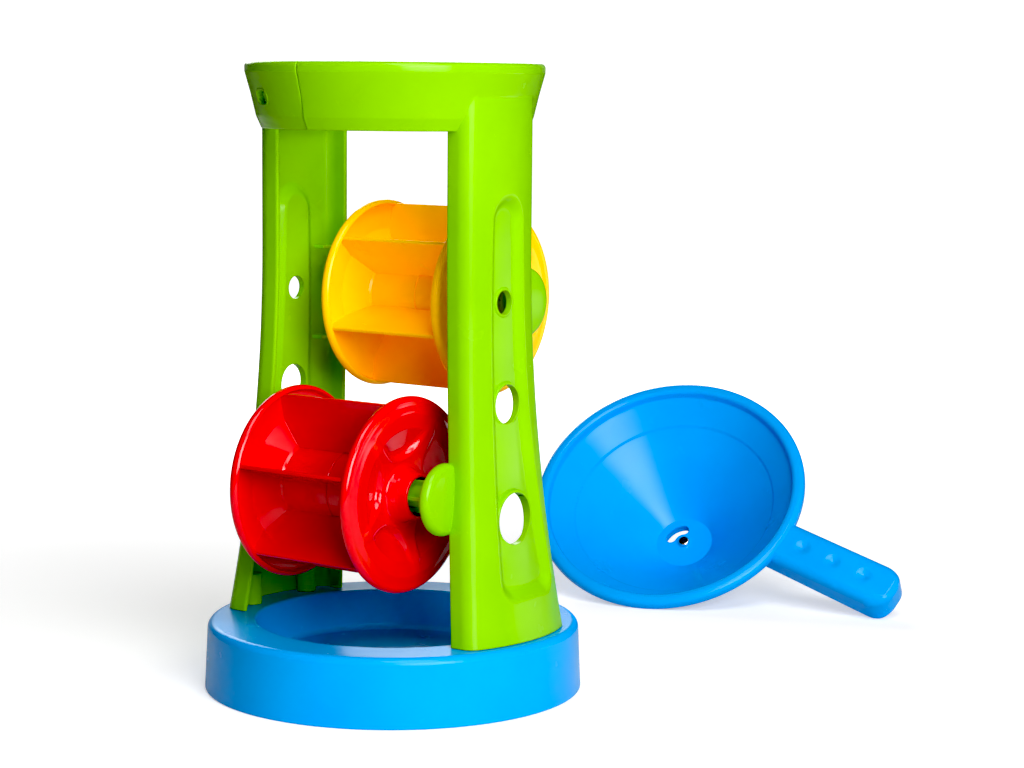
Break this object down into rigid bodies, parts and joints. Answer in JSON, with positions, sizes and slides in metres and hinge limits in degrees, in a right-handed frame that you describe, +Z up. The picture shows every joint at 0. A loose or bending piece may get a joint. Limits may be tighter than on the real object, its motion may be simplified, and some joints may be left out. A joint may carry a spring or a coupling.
{
  "type": "sand and water mill",
  "caption": "Play tower with a round tray, a flared filling ring and two bladed wheels that spin on fixed axles, with a loose funnel that has a handle and a turning outlet valve.",
  "frame": {"origin": "on the tower's vertical axis, on the ground, at the middle of the tray base's centre foot", "axes": "+Z up, +X along both wheel axles towards the right-hand leg, +Y towards the side where the upper wheel hangs out of the tower and where the loose funnel lies"},
  "size_m": [0.2165, 0.4148, 0.296],
  "materials": {
    "blue_base": "smooth glossy moulded plastic",
    "green_tower": "smooth glossy moulded plastic",
    "green_axle": "smooth glossy moulded plastic",
    "red_wheel": "smooth glossy moulded plastic",
    "yellow_wheel": "smooth glossy moulded plastic",
    "blue_funnel": "smooth glossy moulded plastic",
    "valve_steel": "bright turned metal",
    "screw_steel": "zinc-plated steel"
  },
  "bodies": {
    "tower": {"tray_base": "blue_base", "tower_half_right": "green_tower", "tower_half_left": "green_tower", "lower_axle": "green_axle", "upper_axle": "green_axle", "foot_screw_1": "screw_steel", "foot_screw_2": "screw_steel", "foot_screw_3": "screw_steel", "foot_screw_4": "screw_steel"},
    "lower_wheel": {"lower_wheel_body": "red_wheel", "lower_wheel_cap": "red_wheel"},
    "upper_wheel": {"upper_wheel_body": "yellow_wheel", "upper_wheel_cap": "yellow_wheel"},
    "funnel": {"funnel_bowl": "blue_funnel", "funnel_valve_pin": "valve_steel", "funnel_valve_washer": "valve_steel"},
    "valve": {"funnel_valve_disc": "blue_funnel"}
  },
  "joints": [
    {"name": "lower_wheel_spin", "type": "hinge", "parent": "tower", "child": "lower_wheel", "pos_m": [0, -0.0323, 0.0992], "axis": [1, 0, 0], "continuous": true},
    {"name": "upper_wheel_spin", "type": "hinge", "parent": "tower", "child": "upper_wheel", "pos_m": [0, 0.0323, 0.1846], "axis": [1, 0, 0], "continuous": true},
    {"name": "funnel_lift", "type": "slide", "parent": "tower", "child": "funnel", "axis": [0, 0, 1], "range_m": [0, 0.35]},
    {"name": "valve_turn", "type": "hinge", "parent": "funnel", "child": "valve", "pos_m": [-0.015, 0.267, 0.05634], "axis": [0.2137, -0.6779, 0.7034], "range_deg": [0, 120]}
  ]
}
